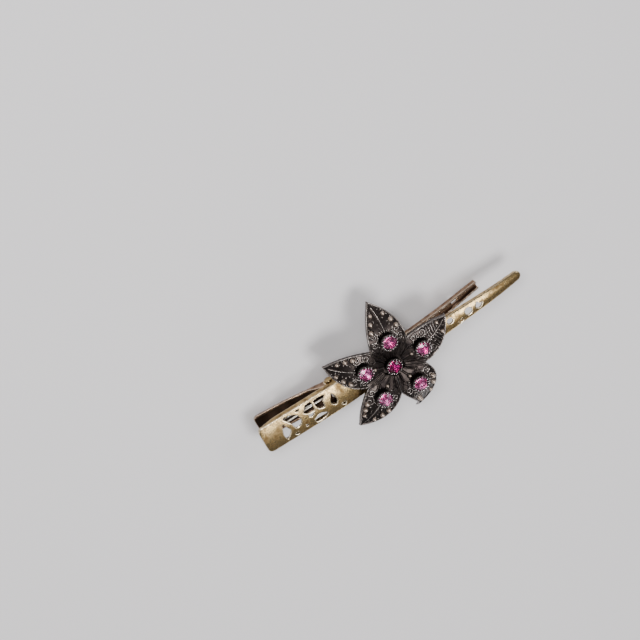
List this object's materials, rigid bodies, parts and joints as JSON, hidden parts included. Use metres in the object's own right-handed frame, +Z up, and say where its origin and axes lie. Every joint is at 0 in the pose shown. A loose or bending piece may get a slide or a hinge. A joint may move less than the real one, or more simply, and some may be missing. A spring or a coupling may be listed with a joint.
{
  "type": "beak hair clip",
  "caption": "Sprung beak clip for hair: a pierced brass upper arm carries a bent-petal metal flower set with claw-held stones, over a shorter channel-shaped lower jaw.",
  "frame": {"origin": "bottom centre of the clip's box, with the clip standing on the two ends of its lower arm and the flower up", "axes": "+X from the jaw tip to the thumb tabs, the clip's longest extent; +Z up through the flower; hinge axis along Y"},
  "size_m": [0.13, 0.0602, 0.023],
  "materials": {
    "antique_brass": "satin antique brass, mottled olive and brown, bright worn edges",
    "aged_brass": "satin aged brass",
    "spring_steel": "drawn wire",
    "dark_bronze": "dark bronze with rubbed silvery rims",
    "claw_metal": "dark bronze with bright claw tips",
    "pink_stone": "foil-backed cut glass, pale pink",
    "fuchsia_stone": "foil-backed cut glass, deep fuchsia"
  },
  "bodies": {
    "upper": {"upper_arm": "antique_brass", "hinge_pin": "antique_brass", "torsion_spring": "spring_steel", "flower_base": "dark_bronze", "flower_rivet": "antique_brass", "petal_jaw_side": "dark_bronze", "petal_jaw_side_claw_cup": "claw_metal", "petal_jaw_side_stone": "pink_stone", "petal_front": "dark_bronze", "petal_front_claw_cup": "claw_metal", "petal_front_stone": "pink_stone", "petal_tail_front": "dark_bronze", "petal_tail_front_claw_cup": "claw_metal", "petal_tail_front_stone": "pink_stone", "petal_tail_back": "dark_bronze", "petal_tail_back_claw_cup": "claw_metal", "petal_tail_back_stone": "pink_stone", "petal_back": "dark_bronze", "petal_back_claw_cup": "claw_metal", "petal_back_stone": "pink_stone", "centre_claw_cup": "claw_metal", "centre_stone": "fuchsia_stone"},
    "lower": {"lower_arm": "aged_brass"}
  },
  "joints": [
    {"name": "jaw_hinge", "type": "hinge", "parent": "upper", "child": "lower", "pos_m": [0.02813, 0.00012, 0.00971], "axis": [0, -1, 0], "range_deg": [-7.8, 13], "stiffness_Nm_per_rad": 0.25, "springref_deg": -20.05, "deforming": ["torsion_spring"]}
  ]
}
